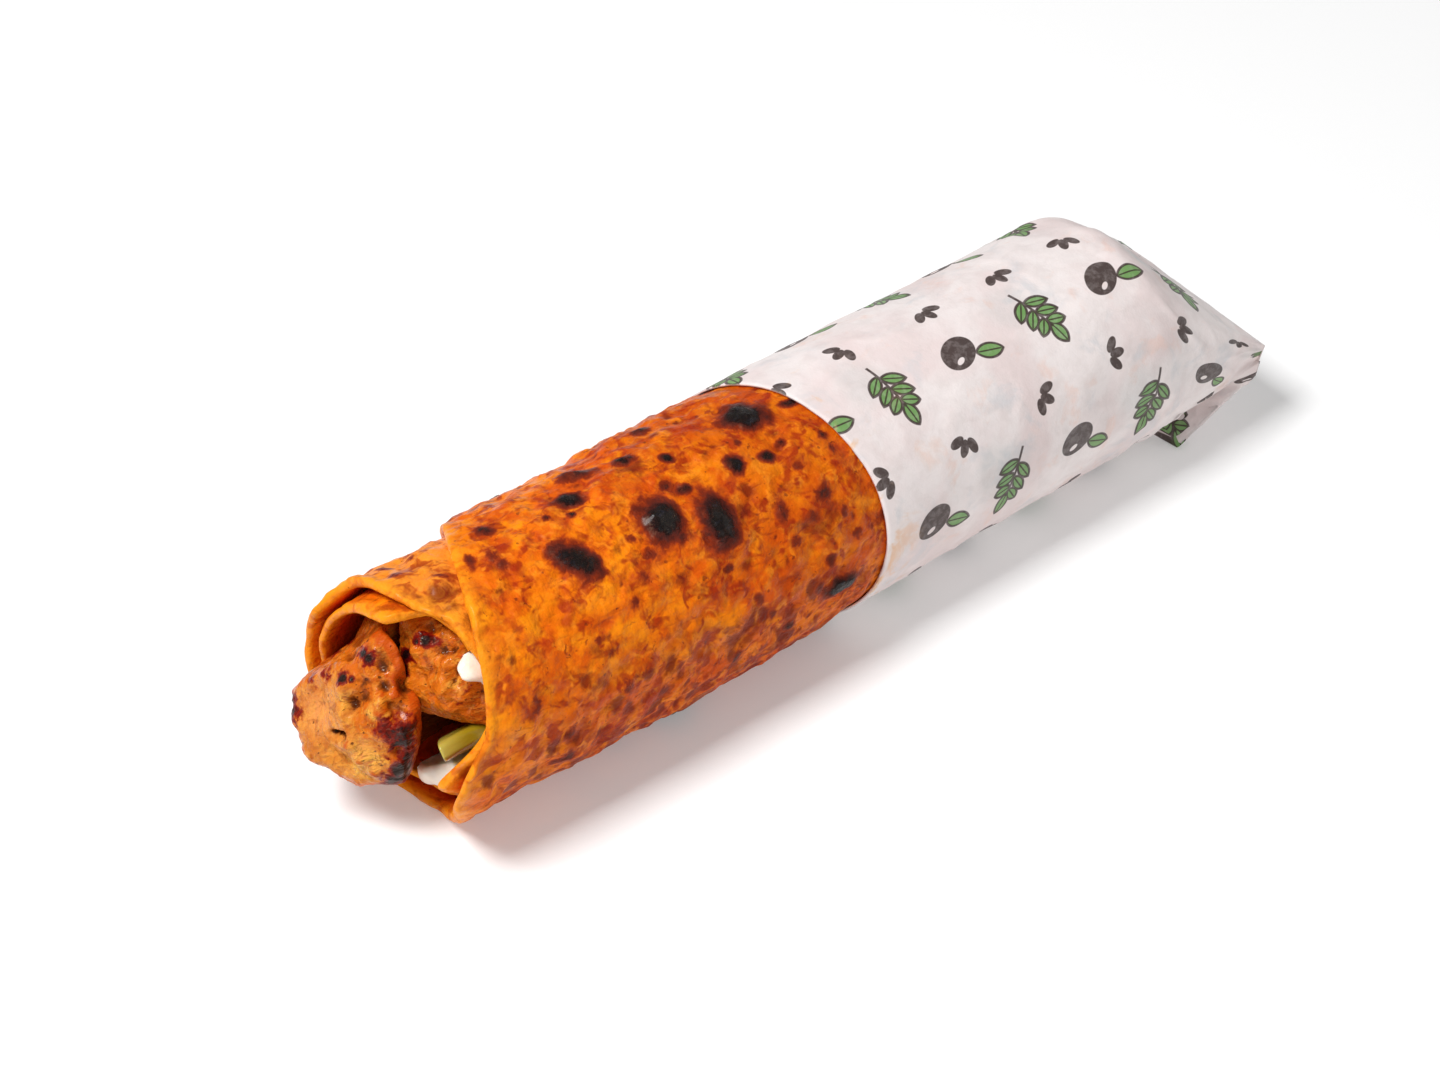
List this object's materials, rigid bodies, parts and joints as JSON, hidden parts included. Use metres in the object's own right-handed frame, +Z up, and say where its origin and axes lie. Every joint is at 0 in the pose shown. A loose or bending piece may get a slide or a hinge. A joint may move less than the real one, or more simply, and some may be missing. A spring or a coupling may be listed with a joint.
{
  "type": "shish tawook sandwich",
  "caption": "Rolled flatbread wrap of grilled chicken, garlic sauce and pickle, open at one end and sleeved in folded greaseproof paper at the other.",
  "frame": {"origin": "middle of the bottom of the bounding box, on the surface that the wrap lies on", "axes": "+X along the roll toward the folded paper end, so the open end is at -X; -Y the side shown beside the open end; +Z up"},
  "size_m": [0.2539, 0.0584, 0.0578],
  "materials": {
    "flatbread": "toasted bread, orange-gold with charred blisters, lightly oiled",
    "chicken": "grilled chicken, tan with dark charred edges, moist",
    "garlic_sauce": "thick white garlic sauce, glossy",
    "pickle": "pickled cucumber, olive green, wet",
    "greaseproof_paper": null
  },
  "bodies": {
    "root": {"flatbread": "flatbread", "chicken_front": "chicken", "chicken_back": "chicken", "garlic_sauce": "garlic_sauce", "pickle": "pickle", "wrap_paper": "greaseproof_paper"}
  },
  "joints": []
}
